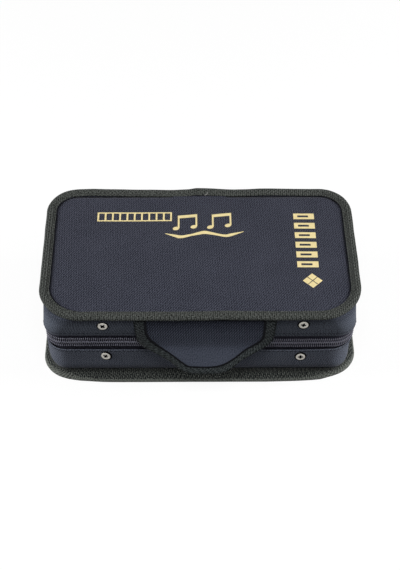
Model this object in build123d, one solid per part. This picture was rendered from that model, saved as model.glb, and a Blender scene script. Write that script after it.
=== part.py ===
from build123d import *
import math
import os

# Zip-round case for a set of ten-hole harmonicas. Millimetres, +Z up. The origin is the middle of
# the flat underside, +X runs along the case's width and -Y is the front. The case is sized from
# the inside out: from what it holds, through the foam and the wall's layers, to the bound edges.

# What it holds
harp_length = 102.0
harp_width = 27.0
harp_height = 20.0
harp_count = 7

# Foam tray
slot_play = 2.0
slot_web = 4.0
tray_rim_side = 3.9
tray_rim_end = 11.4
tray_floor = 10.0
tray_recess = 3.2
tray_play = 1.2
slot_corner_radius = 3.0
finger_notch_radius = 9.0
finger_notch_reach = 7.0
lid_pad = 16.0
lid_pad_recess = 4.4

# Layers of the walls, from the outside in
wall_fabric = 1.5
zip_tape_thickness = 0.6
hinge_strip_thickness = 1.0
wall_foam = 2.5
lining_fabric = 0.8
layer_gap = 0.2
wall_corner_radius = 26.0

# Layers of the base and the lid
panel_fabric = 1.6
seam_allowance = 1.2
board = 2.0
tape = 0.8

# Bound edges
lid_edge_reach = 4.2
lid_edge_radius = 27.5
lid_tape_width = 8.5
base_edge_reach = 5.2
base_edge_height = 11.6
base_edge_foot = 2.2
base_tape_top = 0.9
base_tape_under = 4.0
edge_round = 0.6

# Zip and rear hinge
zip_window = 14.0
coil_height = 3.2
coil_thickness = 1.6
coil_split = 1.0
tape_split = 1.4
tape_overlap = 8.0
zip_end_from_corner = 11.8
hinge_strip_lap = 4.0
hinge_strip_overlap = 7.4
hinge_axis_out = 0.1

# Sliders and their pulls
slider_spacing = 15.0
slider_length = 12.0
slider_nose_height = 9.6
slider_tail_height = 8.0
slider_plate = 1.0
slider_gap = 0.35
slider_post = 0.5
slider_post_length = 3.5
slider_lip = 0.75
bail_leg_radius = 0.75
bail_leg_spacing = 6.4
bail_width = 2.2
bail_bar = 0.7
pull_thickness = 1.0
pull_play = 0.3
pull_length = 27.0
pull_width = 6.4
pull_neck = 3.4
pull_eye_radius = 2.5
pull_hole_radius = 1.1

# Front tongue: its outline is seen from the front, its bends from the side
tongue_centre = 3.6
tongue_top_width = 115.0
tongue_shoulder_width = 109.0
tongue_shoulder_drop = 24.4
tongue_waist_width = 58.0
tongue_waist_drop = 36.2
tongue_nose_width = 33.0
tongue_drop = 45.2
tongue_shoulder_radius = 16.0
tongue_waist_radius = 30.0
tongue_nose_radius = 26.0
tongue_fabric = 1.6
tongue_tape = 0.5
tongue_tape_width = 8.6
tongue_tape_gap = 0.1
tongue_root_gap = 0.5
tongue_top_gap = 0.8
tongue_bend_drop = 26.2
tongue_bend_radius = 14.0
tongue_lean = 35.0
tongue_seat_gap = 0.3
tongue_axis_drop = 1.0

# Rivets in the front wall
rivet_centre = 2.5
rivet_from_side = 45.8
rivet_below_base_rim = 10.9
rivet_above_lid_rim = 14.2
rivet_head_radius = 4.35
rivet_head_height = 0.9
rivet_head_round = 0.5
rivet_shank_radius = 2.0
rivet_bore_radius = 1.4
rivet_hole_gap = 0.1
washer_radius = 4.5
washer_thickness = 0.6

# Worked out: depths of the layers behind the wall's outer face
tape_depth = wall_fabric + layer_gap
hinge_strip_depth = tape_depth + zip_tape_thickness + layer_gap
foam_depth = hinge_strip_depth + hinge_strip_thickness + layer_gap
lining_depth = foam_depth + wall_foam + layer_gap
inner_depth = lining_depth + lining_fabric
tray_depth = inner_depth + tray_play
coil_depth = tape_depth - coil_thickness - layer_gap / 4

# Worked out: the tray and the wall's outer face
slot_length = harp_length + slot_play
slot_width = harp_width + slot_play
slot_pitch = slot_width + slot_web
tray_width = harp_count * slot_pitch - slot_web + 2 * tray_rim_side
tray_length = slot_length + 2 * tray_rim_end
wall_width = tray_width + 2 * tray_depth
wall_length = tray_length + 2 * tray_depth
front_y = -wall_length / 2
back_y = wall_length / 2

# Worked out: heights
panel_z = tape
base_board_z = panel_z + panel_fabric
lining_floor_z = base_board_z + board
tray_z = lining_floor_z + lining_fabric
slot_z = tray_z + tray_floor
tray_top_z = slot_z + harp_height
base_rim_z = tray_top_z + tray_recess
zip_z = base_rim_z + zip_window / 2
lid_rim_z = base_rim_z + zip_window
pad_z = lid_rim_z + lid_pad_recess
lid_lining_z = pad_z + lid_pad
lid_board_z = lid_lining_z + lining_fabric
lid_panel_z = lid_board_z + board
lid_tape_z = lid_panel_z + panel_fabric
top_z = lid_tape_z + tape
lid_seam_z = lid_panel_z - seam_allowance
lid_edge_z = lid_seam_z - tape
lining_base_top = base_rim_z - lining_fabric
lining_lid_bottom = lid_rim_z + lining_fabric

# Worked out: the hardware on the front
slider_face = slider_gap - coil_depth
slider_top = slider_face + slider_plate
pull_face = slider_top + pull_play
bail_inner = pull_face + pull_thickness + pull_play
bail_outer = bail_inner + bail_bar
slider_x = slider_spacing / 2
leg_x = slider_x + bail_leg_spacing / 2
rivet_x = wall_width / 2 - rivet_from_side
rivet_lid_z = lid_rim_z + rivet_above_lid_rim
rivet_base_z = base_rim_z - rivet_below_base_rim
zip_end_x = wall_width / 2 - wall_corner_radius - zip_end_from_corner
tongue_top_z = lid_edge_z - tongue_top_gap
tongue_back = tongue_tape + tongue_tape_gap + tongue_fabric / 2
tongue_axis_out = tongue_root_gap + tongue_back


def slab(width, length, radius, low, high):
    """Flat plate with rounded corners between two heights."""
    face = Plane.XY.offset(low) * RectangleRounded(width, length, radius)
    return extrude(face, high - low)


def wall_slab(out, low, high):
    """Plate with the wall's outline, moved out by a distance (in, where it is negative)."""
    return slab(wall_width + 2 * out, wall_length + 2 * out, wall_corner_radius + out, low, high)


def wall_ring(depth, thickness, low, high):
    """One layer of the wall, starting at a depth behind the wall's outer face."""
    return wall_slab(-depth, low, high) - wall_slab(-depth - thickness, low, high)


def lid_edge_slab(inset, low, high):
    """Plate with the outline of the lid's bound edge, moved in by a distance."""
    out = lid_edge_reach - inset
    return slab(wall_width + 2 * out, wall_length + 2 * out, lid_edge_radius - inset, low, high)


def on_front(x, z):
    """Frame on the front wall's outer face: its z points out of the case and its y up."""
    return Pos(x, front_y, z) * Rot(90, 0, 0)


def peg(radius, low, high):
    """Round peg on its frame's z axis."""
    return Pos(0, 0, low) * Cylinder(radius, high - low, align=(Align.CENTER, Align.CENTER, Align.MIN))


def block(x_low, x_high, y_low, y_high, z_low, z_high):
    """Box between two corners."""
    box = Box(x_high - x_low, y_high - y_low, z_high - z_low, align=Align.MIN)
    return Pos(x_low, y_low, z_low) * box


def rivet_places(height):
    """Frames of the left and the right rivet at one height."""
    return [on_front(rivet_centre + side * rivet_x, height) for side in (-1, 1)]


def with_rivet_holes(layer, height):
    """The layer with a hole for each rivet's shank."""
    for place in rivet_places(height):
        layer -= place * peg(rivet_shank_radius + rivet_hole_gap, -tray_depth, wall_fabric)
    return layer


# Base
def base_panel():
    """Bottom panel: it lies level with the tape's underside inside the tape's edge."""
    sheet = wall_slab(base_edge_reach - tape - layer_gap, panel_z, base_board_z)
    return sheet + wall_slab(-base_tape_under - layer_gap, 0, panel_z)


def base_board():
    return wall_slab(-wall_fabric - layer_gap, base_board_z, lining_floor_z)


def base_wall():
    """Fabric wall with its seam allowance turned out into the bound edge."""
    wall = wall_ring(0, wall_fabric, base_board_z, base_rim_z)
    allowance = wall_slab(base_edge_reach - tape - layer_gap, base_board_z, base_board_z + seam_allowance)
    allowance -= wall_slab(-wall_fabric, base_board_z, base_board_z + seam_allowance)
    return with_rivet_holes(wall + allowance, rivet_base_z)


def base_binding():
    """Tape round the bottom seam: a foot ring, and a skirt that leans up to the wall."""
    rise = base_edge_height - base_edge_foot
    lean = math.degrees(math.atan2(base_edge_reach - base_tape_top, rise))
    foot = wall_slab(base_edge_reach, 0, base_edge_foot)
    foot = fillet(foot.edges().group_by(Axis.Z)[0], edge_round)
    outline = RectangleRounded(
        wall_width + 2 * base_edge_reach,
        wall_length + 2 * base_edge_reach,
        wall_corner_radius + base_edge_reach,
    )
    skirt = extrude(Plane.XY.offset(base_edge_foot) * outline, rise, taper=lean)
    seam_top = base_board_z + seam_allowance
    ring = foot + skirt
    ring -= wall_slab(base_edge_reach - tape, tape, seam_top)
    ring -= wall_slab(layer_gap, tape, base_edge_height)
    return ring - wall_slab(-base_tape_under, 0, tape)


def base_wall_foam():
    foam = wall_ring(foam_depth, wall_foam, lining_floor_z, lining_base_top - layer_gap)
    return with_rivet_holes(foam, rivet_base_z)


def base_lining():
    """Lining tub: floor, wall and a lip over the foam's top edge."""
    tub = wall_slab(-lining_depth, lining_floor_z, base_rim_z)
    tub -= wall_slab(-inner_depth, tray_z, base_rim_z)
    tub += wall_ring(foam_depth, inner_depth - foam_depth, lining_base_top, base_rim_z)
    return with_rivet_holes(tub, rivet_base_z)


def tray_floor_foam():
    return wall_slab(-tray_depth, tray_z, slot_z)


def tray_slot_foam():
    """Foam with one slot for each harmonica and a finger notch at each slot's front end."""
    foam = wall_slab(-tray_depth, slot_z, tray_top_z)
    first = -(harp_count - 1) * slot_pitch / 2
    cut = slab(slot_width, slot_length, slot_corner_radius, slot_z, tray_top_z)
    notch_y = -slot_length / 2 + finger_notch_radius - finger_notch_reach
    cut += Pos(0, notch_y, 0) * peg(finger_notch_radius, slot_z, tray_top_z)
    for number in range(harp_count):
        foam -= Pos(first + number * slot_pitch, 0, 0) * cut
    return foam


# Lid
def lid_panel():
    return lid_edge_slab(tape + layer_gap, lid_panel_z, lid_tape_z)


def lid_board():
    return wall_slab(-wall_fabric - layer_gap, lid_board_z, lid_panel_z)


def lid_wall():
    """Fabric wall with its seam allowance turned out under the panel's edge."""
    wall = wall_ring(0, wall_fabric, lid_rim_z, lid_panel_z)
    allowance = lid_edge_slab(tape + layer_gap, lid_seam_z, lid_panel_z)
    allowance -= wall_slab(-wall_fabric, lid_seam_z, lid_panel_z)
    return with_rivet_holes(wall + allowance, rivet_lid_z)


def lid_binding():
    """Tape folded round the lid's edge, over the panel and back under it to the wall."""
    ring = lid_edge_slab(0, lid_edge_z, top_z)
    rims = ring.edges().group_by(Axis.Z)
    ring = fillet(rims[0] + rims[-1], edge_round)
    ring -= lid_edge_slab(tape, lid_seam_z, lid_tape_z)
    ring -= lid_edge_slab(lid_tape_width, lid_tape_z, top_z)
    return ring - wall_slab(layer_gap, lid_edge_z, lid_seam_z)


def lid_wall_foam():
    foam = wall_ring(foam_depth, wall_foam, lining_lid_bottom + layer_gap, lid_board_z)
    return with_rivet_holes(foam, rivet_lid_z)


def lid_lining():
    """Lining: ceiling, wall and a lip under the foam's bottom edge."""
    tub = wall_slab(-lining_depth, lid_rim_z, lid_board_z)
    tub -= wall_slab(-inner_depth, lid_rim_z, lid_lining_z)
    tub += wall_ring(foam_depth, inner_depth - foam_depth, lid_rim_z, lining_lid_bottom)
    return with_rivet_holes(tub, rivet_lid_z)


def lid_foam_pad():
    return wall_slab(-tray_depth, pad_z, lid_lining_z)


# Zip and hinge
def zip_ring(depth, thickness, low, high):
    """Ring round the front and the sides that stops short of the middle of the back."""
    ring = wall_ring(depth, thickness, low, high)
    return ring - block(-zip_end_x, zip_end_x, 0, wall_length, low, high)


def lower_zip_tape():
    ring = zip_ring(tape_depth, zip_tape_thickness, base_rim_z - tape_overlap, zip_z - tape_split / 2)
    return with_rivet_holes(ring, rivet_base_z)


def upper_zip_tape():
    ring = zip_ring(tape_depth, zip_tape_thickness, zip_z + tape_split / 2, lid_rim_z + tape_overlap)
    return with_rivet_holes(ring, rivet_lid_z)


def lower_zip_coil():
    top = zip_z - coil_split / 2
    return zip_ring(coil_depth, coil_thickness, top - coil_height, top)


def upper_zip_coil():
    bottom = zip_z + coil_split / 2
    return zip_ring(coil_depth, coil_thickness, bottom, bottom + coil_height)


def rear_hinge_strip():
    """Fabric strip behind the back walls' rims, lapped over the ends of the zip's tapes."""
    half = zip_end_x + hinge_strip_lap
    outer = back_y - hinge_strip_depth
    low = base_rim_z - hinge_strip_overlap
    high = lid_rim_z + hinge_strip_overlap
    return block(-half, half, outer - hinge_strip_thickness, outer, low, high)


# Rivets
def rivets(height):
    """Two tubular rivets, their heads outside and their shanks open right through."""
    pair = []
    for place in rivet_places(height):
        head = peg(rivet_head_radius, 0, rivet_head_height)
        head = fillet(head.edges().group_by(Axis.Z)[-1], rivet_head_round)
        shank = peg(rivet_shank_radius, -inner_depth - washer_thickness, 0)
        bore = peg(rivet_bore_radius, -tray_depth, rivet_head_height)
        pair.append(place * (head + shank - bore))
    return Compound(children=pair)


def rivet_washers(height):
    """Two washers behind the lining, round the rivets' shanks."""
    pair = []
    for place in rivet_places(height):
        ring = peg(washer_radius, -inner_depth - washer_thickness, -inner_depth)
        ring -= peg(rivet_shank_radius + rivet_hole_gap, -inner_depth - washer_thickness, -inner_depth)
        pair.append(place * ring)
    return Compound(children=pair)


# Sliders: each nose faces the middle of the front, where the two meet when the case is shut
def slider(side):
    """Slider with its plates, its post between the coils and its bail, for one side."""
    half = slider_length / 2
    shoulder = half / 3
    nose = slider_nose_height / 2
    tail = slider_tail_height / 2
    outline = Polyline(
        (-half, -tail), (shoulder, -nose), (half, -tail), (half, tail), (shoulder, nose), (-half, tail),
        close=True,
    )
    face = make_face(outline)
    back_low = -tape_depth - zip_tape_thickness - slider_gap - slider_plate
    body = extrude(Plane.XY.offset(slider_face) * face, slider_plate)
    body += extrude(Plane.XY.offset(back_low) * face, slider_plate)
    post_low = half - slider_post_length - slider_plate
    body += block(
        post_low, half - slider_plate, -slider_post / 2, slider_post / 2, back_low, slider_face + slider_plate
    )
    lip_top = -coil_split / 2 - coil_height - slider_gap
    lip = block(-half, shoulder, lip_top - slider_lip, lip_top, slider_gap - tape_depth, slider_top)
    body += lip
    leg = bail_leg_spacing / 2
    for end in (-leg, leg):
        body += Pos(end, 0, 0) * peg(bail_leg_radius, slider_face, bail_outer)
    reach = leg + bail_leg_radius
    body += block(-reach, reach, -bail_width / 2, bail_width / 2, bail_inner, bail_outer)
    if side > 0:
        body = mirror(body, Plane.YZ)
    return on_front(side * slider_x, zip_z) * body


def pull(side):
    """Pull tab that hangs by its eye from the slider's outer bail leg."""
    eye = Circle(pull_eye_radius)
    reach = pull_length - pull_width / 2
    tab = Polyline(
        (-pull_neck / 2, 0), (-pull_width / 2, -reach / 2), (-pull_width / 2, -reach),
        (pull_width / 2, -reach), (pull_width / 2, -reach / 2), (pull_neck / 2, 0),
        close=True,
    )
    shape = eye + make_face(tab) + Pos(0, -reach) * Circle(pull_width / 2)
    shape -= Circle(pull_hole_radius)
    shape -= Pos(0, -reach) * Circle(pull_hole_radius)
    plate = extrude(Plane.XY.offset(pull_face) * shape, pull_thickness)
    return on_front(side * leg_x, zip_z) * plate


# Tongue
def tongue_sheet(thickness):
    """Bent sheet as wide as the tongue needs, centred on the tongue's middle surface."""
    root_out = tongue_root_gap + tongue_back
    bend_out = bail_outer + tongue_seat_gap + tongue_back
    bend_z = tongue_top_z - tongue_bend_drop
    fall = tongue_drop - tongue_bend_drop + tongue_fabric
    tip_out = bend_out + fall * math.tan(math.radians(tongue_lean))
    path = FilletPolyline(
        (front_y - root_out, tongue_top_z),
        (front_y - bend_out, bend_z),
        (front_y - tip_out, bend_z - fall),
        radius=tongue_bend_radius,
    )
    strip = trace(path, line_width=thickness)
    return extrude(Plane.YZ * strip, tongue_top_width, both=True)


def tongue_outline(inset):
    """Prism of the tongue's outline from the front, moved in by a distance except at the top."""
    half_top = tongue_top_width / 2
    half_shoulder = tongue_shoulder_width / 2
    half_waist = tongue_waist_width / 2
    half_nose = tongue_nose_width / 2
    shoulder_z = tongue_top_z - tongue_shoulder_drop
    waist_z = tongue_top_z - tongue_waist_drop
    nose_z = tongue_top_z - tongue_drop
    above_z = tongue_top_z + 2 * tongue_tape_width
    right = [
        (half_top, above_z),
        (half_top, tongue_top_z),
        (half_shoulder, shoulder_z),
        (half_waist, waist_z),
        (half_nose, nose_z),
    ]
    left = [(-x, z) for x, z in reversed(right)]
    face = make_face(Polyline(*right, *left, close=True))
    corners = face.vertices()
    face = fillet(near_height(corners, shoulder_z), tongue_shoulder_radius)
    face = fillet(near_height(face.vertices(), waist_z), tongue_waist_radius)
    face = fillet(near_height(face.vertices(), nose_z), tongue_nose_radius)
    if inset > 0:
        face = offset(face, -inset)
    prism = extrude(Plane.XZ * face, 2 * tongue_top_width)
    return Pos(tongue_centre, 0, 0) * prism


def near_height(corners, height):
    """The corners of a flat outline that lie at one height."""
    return [corner for corner in corners if abs(corner.Y - height) < layer_gap]


def tongue_panel():
    return tongue_sheet(tongue_fabric) & tongue_outline(tongue_tape + tongue_tape_gap)


def tongue_binding():
    """Tape folded round the tongue's free edge."""
    band = tongue_outline(0) - tongue_outline(tongue_tape_width)
    fold = tongue_sheet(tongue_fabric + 2 * tongue_tape_gap + 2 * tongue_tape) & band
    room = tongue_sheet(tongue_fabric + 2 * tongue_tape_gap) & tongue_outline(tongue_tape)
    return fold - room


parts = {
    "base_panel": base_panel(),
    "base_board": base_board(),
    "base_binding": base_binding(),
    "base_wall": base_wall(),
    "base_wall_foam": base_wall_foam(),
    "base_lining": base_lining(),
    "tray_floor_foam": tray_floor_foam(),
    "tray_slot_foam": tray_slot_foam(),
    "lower_zip_tape": lower_zip_tape(),
    "lower_zip_coil": lower_zip_coil(),
    "rear_hinge_strip": rear_hinge_strip(),
    "base_rivets": rivets(rivet_base_z),
    "base_rivet_washers": rivet_washers(rivet_base_z),
    "lid_panel": lid_panel(),
    "lid_board": lid_board(),
    "lid_binding": lid_binding(),
    "lid_wall": lid_wall(),
    "lid_wall_foam": lid_wall_foam(),
    "lid_lining": lid_lining(),
    "lid_foam_pad": lid_foam_pad(),
    "upper_zip_tape": upper_zip_tape(),
    "upper_zip_coil": upper_zip_coil(),
    "lid_rivets": rivets(rivet_lid_z),
    "lid_rivet_washers": rivet_washers(rivet_lid_z),
    "tongue_panel": tongue_panel(),
    "tongue_binding": tongue_binding(),
    "left_slider": slider(-1),
    "left_pull": pull(-1),
    "right_slider": slider(1),
    "right_pull": pull(1),
}

os.makedirs("parts", exist_ok=True)
for name, shape in parts.items():
    export_step(shape, f"parts/{name}.step")

print("lid hinge axis at y, z:", round(back_y + hinge_axis_out, 3), round(zip_z, 3))
print("tongue axis at y, z:", round(front_y - tongue_axis_out, 3),
      round(tongue_top_z - tongue_axis_drop, 3))
print("pull axes at x, z:", round(leg_x, 3), round(zip_z, 3))
print("wall", wall_width, wall_length, "top", top_z, "slot floor", slot_z, "tray top", tray_top_z)
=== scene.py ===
import math
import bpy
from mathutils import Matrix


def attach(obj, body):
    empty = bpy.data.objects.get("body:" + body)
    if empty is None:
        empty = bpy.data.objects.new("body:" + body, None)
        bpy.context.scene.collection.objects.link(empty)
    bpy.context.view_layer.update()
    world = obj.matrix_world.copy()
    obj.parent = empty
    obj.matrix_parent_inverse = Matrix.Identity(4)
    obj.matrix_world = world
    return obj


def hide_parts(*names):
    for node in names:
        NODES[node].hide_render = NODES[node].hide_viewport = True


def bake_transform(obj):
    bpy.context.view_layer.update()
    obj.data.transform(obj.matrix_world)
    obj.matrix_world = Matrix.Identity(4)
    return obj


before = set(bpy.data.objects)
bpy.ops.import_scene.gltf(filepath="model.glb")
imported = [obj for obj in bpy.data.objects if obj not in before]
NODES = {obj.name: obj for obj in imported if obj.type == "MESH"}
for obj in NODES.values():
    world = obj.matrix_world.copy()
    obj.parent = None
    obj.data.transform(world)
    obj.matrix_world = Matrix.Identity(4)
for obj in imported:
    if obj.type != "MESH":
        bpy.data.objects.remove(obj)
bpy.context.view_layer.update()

from types import SimpleNamespace

import bmesh
import bpy
import numpy as np
from mathutils import Matrix, Vector

MM = 0.001
TURN = 2 * math.pi

# Plan outlines in mm: how far they reach left, right and to the front and back, and the corners' radii,
# which run from the back left anticlockwise as seen from above
WALL = (125.8, 125.8, 71.8, (26.0, 26.0, 26.0, 26.0))
LID_EDGE = (130.6, 130.6, 75.7, (27.0, 36.0, 37.0, 27.5))

# Heights in mm
PANEL_TOP = 77.2
LID_RIM_SEAM = 56.5
LID_RIM = 52.6
ZIP = 45.0
BASE_RIM = 37.4
BASE_RIM_SEAM = 35.8

# Half widths in mm of the zip's gap behind the case and of the strip that covers it
ZIP_GAP = 88
HINGE_STRIP = 92.0

# How far the tongue's middle lies to the right of the case's, in mm
TONGUE_MIDDLE = 3.6

# Steps in mm of the lines that the teeth are set along, and the teeth's own
ZIP_STEP = 0.2
TOOTH_PITCH = 1.66

# Divisions of a plan outline: each long side, short side and corner
LONG_SIDE = 120
SHORT_SIDE = 56
CORNER = 24


# Finishes

def srgb(red, green, blue):
    """Linear colour of three screen values from 0 to 255."""
    values = [value / 255 for value in (red, green, blue)]
    linear = [v / 12.92 if v <= 0.04045 else ((v + 0.055) / 1.055) ** 2.4 for v in values]
    return (*linear, 1.0)


class Signal:
    """A node's output that can stand in an expression."""

    def __init__(self, wiring, socket):
        self.wiring = wiring
        self.socket = socket

    def other(self, name):
        """Another output of the same node."""
        return Signal(self.wiring, self.socket.node.outputs[name])

    def math(self, operation, *others):
        return self.wiring.node("ShaderNodeMath", {"operation": operation}, dict(enumerate([self, *others])))

    def rising(self, low, high, least=0.0):
        """From the least below a range to 1 above it."""
        return ((self - low) / (high - low)).math("MAXIMUM", least).math("MINIMUM", 1.0)

    def wave(self, pitch):
        """Sine of a place, from -1 to 1, that repeats at every pitch."""
        return (self * (TURN / pitch)).math("SINE")

    def __add__(self, other):
        return self.math("ADD", other)

    def __sub__(self, other):
        return self.math("SUBTRACT", other)

    def __mul__(self, other):
        return self.math("MULTIPLY", other)

    def __truediv__(self, other):
        return self.math("DIVIDE", other)

    def __mod__(self, other):
        return self.math("FLOORED_MODULO", other)

    def __rsub__(self, other):
        return self.wiring.node("ShaderNodeMath", {"operation": "SUBTRACT"}, {0: other, 1: self})

    __radd__ = __add__
    __rmul__ = __mul__


class Wiring:
    """A node tree that is filled through one method."""

    def __init__(self, tree):
        self.tree = tree

    def node(self, kind, settings=None, sockets=None, result=0):
        made = self.tree.nodes.new(kind)
        for name, value in (settings or {}).items():
            setattr(made, name, value)
        for name, value in (sockets or {}).items():
            if isinstance(value, Signal):
                self.tree.links.new(value.socket, made.inputs[name])
            else:
                made.inputs[name].default_value = value
        return Signal(self, made.outputs[result]) if made.outputs else None


class Finish(Wiring):
    """A material with one Principled shader, wired from expressions."""

    def __init__(self, name, **constants):
        self.material = bpy.data.materials.new(name)
        self.material.use_nodes = True
        super().__init__(self.material.node_tree)
        self.shader = self.tree.nodes["Principled BSDF"]
        for socket, value in constants.items():
            self.shader.inputs[socket.replace("_", " ")].default_value = value

    def object_place(self):
        return self.node("ShaderNodeTexCoord", result="Object")

    def cloth_place(self):
        return self.node("ShaderNodeUVMap", {"uv_map": "cloth"})

    def speckle(self, vector, per_metre, detail=2.0, rough=0.6):
        """Noise from 0 to 1 round 0.5, with so many lumps to the metre."""
        sockets = {"Vector": vector, "Scale": per_metre, "Detail": detail, "Roughness": rough}
        return self.node("ShaderNodeTexNoise", None, sockets)

    def mixed(self, dark, light, share):
        """Colour between two that are given as screen values from 0 to 255."""
        sockets = {0: share, 6: srgb(*dark), 7: srgb(*light)}
        return self.node("ShaderNodeMix", {"data_type": "RGBA"}, sockets, 2)

    def shown(self, colour, roughness=None, height=None, depth=None):
        """Wires what varies over the surface. Depth is the relief's depth in mm."""
        self.tree.links.new(colour.socket, self.shader.inputs["Base Color"])
        if roughness is not None:
            self.tree.links.new(roughness.socket, self.shader.inputs["Roughness"])
        if height is not None:
            relief = {"Height": height, "Distance": depth * MM, "Strength": 1.0}
            bump = self.node("ShaderNodeBump", None, relief)
            self.tree.links.new(bump.socket, self.shader.inputs["Normal"])
        return self.material


def parts(place):
    """The three numbers of a place."""
    x = place.wiring.node("ShaderNodeSeparateXYZ", None, {0: place})
    return x, x.other("Y"), x.other("Z")


def plain_weave(place, per_metre):
    """Height of a plain weave: threads that pass over and under each other."""
    x, y, _ = parts(place)
    across = x * per_metre
    along = y * per_metre
    over = (across.math("FLOOR") + along.math("FLOOR")) % 2.0
    warp = (across * math.pi).math("SINE").math("ABSOLUTE")
    weft = (along * math.pi).math("SINE").math("ABSOLUTE")
    return over * warp + (1.0 - over) * weft


def twill_fabric(name, dark, light, twill_share, mottle_share, smooth_and_painted_light_below=None, painted_shade_above=None):
    """Matt woven polyester: fine slanting twill lines under a salt-and-pepper mottle.

    Below the heights of smooth_and_painted_light_below its twill fades to a smoother weave, and its tone is
    painted paler as light on a part that faces up.
    Above those of painted_shade_above it is painted darker, as shade under an overhanging edge. Each change
    runs between two heights in metres."""
    finish = Finish(name, Roughness=0.85, Specular_IOR_Level=0.02, Sheen_Weight=0.12, Sheen_Roughness=0.35)
    cloth = finish.cloth_place()
    x, y, _ = parts(cloth)
    twill = (x * 480 - y * 350).wave(1)
    ribs = (x * 490 + y * 25).wave(1)
    mottle = finish.speckle(cloth, 1150, 1.0, 0.5)
    cloud = finish.speckle(cloth, 28)
    lines = twill * twill_share + ribs * (twill_share * 0.45)
    tone = (mottle - 0.5) * mottle_share + (cloud - 0.5) * 0.3 + 0.5
    # Below these heights the twill fades to a smoother weave, and the tone is painted paler as light on a
    # part that faces up.
    if smooth_and_painted_light_below:
        upper_share = y.rising(*smooth_and_painted_light_below, 0.15)
        lines = lines * upper_share
        tone = tone + (1.0 - upper_share) * 0.28
    # Above these heights the tone is painted darker, as shade under an overhanging edge.
    if painted_shade_above:
        height = parts(finish.object_place())[2]
        tone = tone - height.rising(*painted_shade_above) * 0.38
    return finish.shown(finish.mixed(dark, light, tone + lines), height=lines + mottle, depth=0.15)


def ribbed_tape(name, dark, light, pitch, slant=0.0, painted_shade_fold=None, painted_shade_to_light=None):
    """Woven edge tape with ribs across it, at a pitch in metres.

    It is painted dark at painted_shade_fold, so far across, as shade along a fold. It goes from painted shade
    to painted light between the two distances across of painted_shade_to_light, all in metres."""
    long_pitch = 0.0034
    painted_shade_reach = 0.0014
    finish = Finish(name, Roughness=0.85, Specular_IOR_Level=0.02, Sheen_Weight=0.08, Sheen_Roughness=0.4)
    cloth = finish.cloth_place()
    u, v, _ = parts(cloth)
    waver = (finish.speckle(cloth, 200) - 0.5) * 0.0007
    place = (u + v * slant + waver) * (TURN / pitch)
    ribs = place.math("SINE")
    floats = (place * 0.5).math("SINE") * (v + waver).wave(long_pitch)
    mottle = finish.speckle(cloth, 1000, 1.0, 0.5)
    tone = ribs * 0.3 + floats * 0.3 + (mottle - 0.5) * 2.3 + 0.5
    # Painted shade: a dark band along the fold, at this distance across.
    if painted_shade_fold:
        beside = (v - painted_shade_fold).math("ABSOLUTE") / painted_shade_reach
        tone = tone - (1.0 - beside).math("MAXIMUM", 0.0) * 3.0
    # Painted shade and light: darker before this range across, near the wall, and paler beyond it, towards
    # the foot.
    if painted_shade_to_light:
        tone = tone + v.rising(*painted_shade_to_light) * 0.75 - 0.22
    return finish.shown(finish.mixed(dark, light, tone), height=ribs + floats + mottle, depth=0.2)


def knitted_zip_tape():
    finish = Finish("zip_tape", Roughness=0.9, Specular_IOR_Level=0.04)
    u, v, _ = parts(finish.cloth_place())
    wales = u.wave(0.0011) * 0.5 + 0.5
    courses = v.wave(0.0016) * 0.5 + 0.5
    colour = finish.mixed((36, 36, 45), (88, 88, 102), wales * courses)
    return finish.shown(colour, height=wales + courses, depth=0.2)


def coil_nylon():
    """Slightly glossy nylon of the zip's teeth."""
    finish = Finish("zip_coil", Specular_IOR_Level=0.5)
    speck = finish.speckle(finish.object_place(), 900, 1.0)
    colour = finish.mixed((72, 72, 84), (130, 130, 145), speck)
    return finish.shown(colour, roughness=speck * 0.25 + 0.28)


def thread(name, dark, light):
    """Twisted sewing thread."""
    finish = Finish(name, Roughness=0.7, Specular_IOR_Level=0.05)
    x, y, z = parts(finish.object_place())
    twist = (x + y + z).wave(0.0006) * 0.5 + 0.5
    return finish.shown(finish.mixed(dark, light, twist), height=twist, depth=0.08)


def bright_metal(name, dark, light):
    """Plated metal with fine handling marks."""
    finish = Finish(name, Metallic=1.0)
    place = finish.object_place()
    smudge = finish.speckle(place, 300, 3.0)
    scratch = finish.speckle(place, 2600)
    colour = finish.mixed(dark, light, smudge)
    return finish.shown(colour, roughness=scratch * 0.2 + 0.3, height=scratch, depth=0.02)


def closed_foam(name, dark, light, cells):
    """Dense foam: small closed cells, so many to the metre, and a dusty surface."""
    finish = Finish(name, Roughness=0.95, Specular_IOR_Level=0.03)
    place = finish.object_place()
    cell = finish.node("ShaderNodeTexVoronoi", {"feature": "F1"}, {"Vector": place, "Scale": cells})
    dust = finish.speckle(place, 90, 3.0)
    tone = cell * 0.7 + (dust - 0.5) * 0.6
    return finish.shown(finish.mixed(dark, light, tone), height=cell, depth=0.15)


def brushed_lining():
    """Short-napped lining cloth."""
    finish = Finish("lining_fabric", Roughness=0.95, Specular_IOR_Level=0.03, Sheen_Weight=0.15,
                    Sheen_Roughness=0.4)
    cloth = finish.cloth_place()
    nap = finish.speckle(cloth, 1500)
    sweep = finish.speckle(cloth, 40, 3.0)
    tone = (nap - 0.5) * 0.9 + (sweep - 0.5) * 0.9 + 0.5
    return finish.shown(finish.mixed((30, 31, 36), (58, 60, 67), tone), height=nap, depth=0.12)


def grey_board():
    finish = Finish("stiff_board", Roughness=0.9, Specular_IOR_Level=0.2)
    fibre = finish.speckle(finish.object_place(), 700, 4.0)
    return finish.shown(finish.mixed((70, 68, 64), (110, 106, 98), fibre), height=fibre, depth=0.05)


def gold_foil():
    """Hot-pressed foil, slightly broken up by the weave under it."""
    finish = Finish("gold_foil", Roughness=0.5, Specular_IOR_Level=0.5)
    place = finish.object_place()
    weave = plain_weave(place, 1250)
    wear = finish.speckle(place, 900)
    colour = finish.mixed((206, 180, 112), (250, 236, 184), wear * 0.7 + weave * 0.3)
    return finish.shown(colour, height=weave, depth=0.06)


# Making meshes

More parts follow.
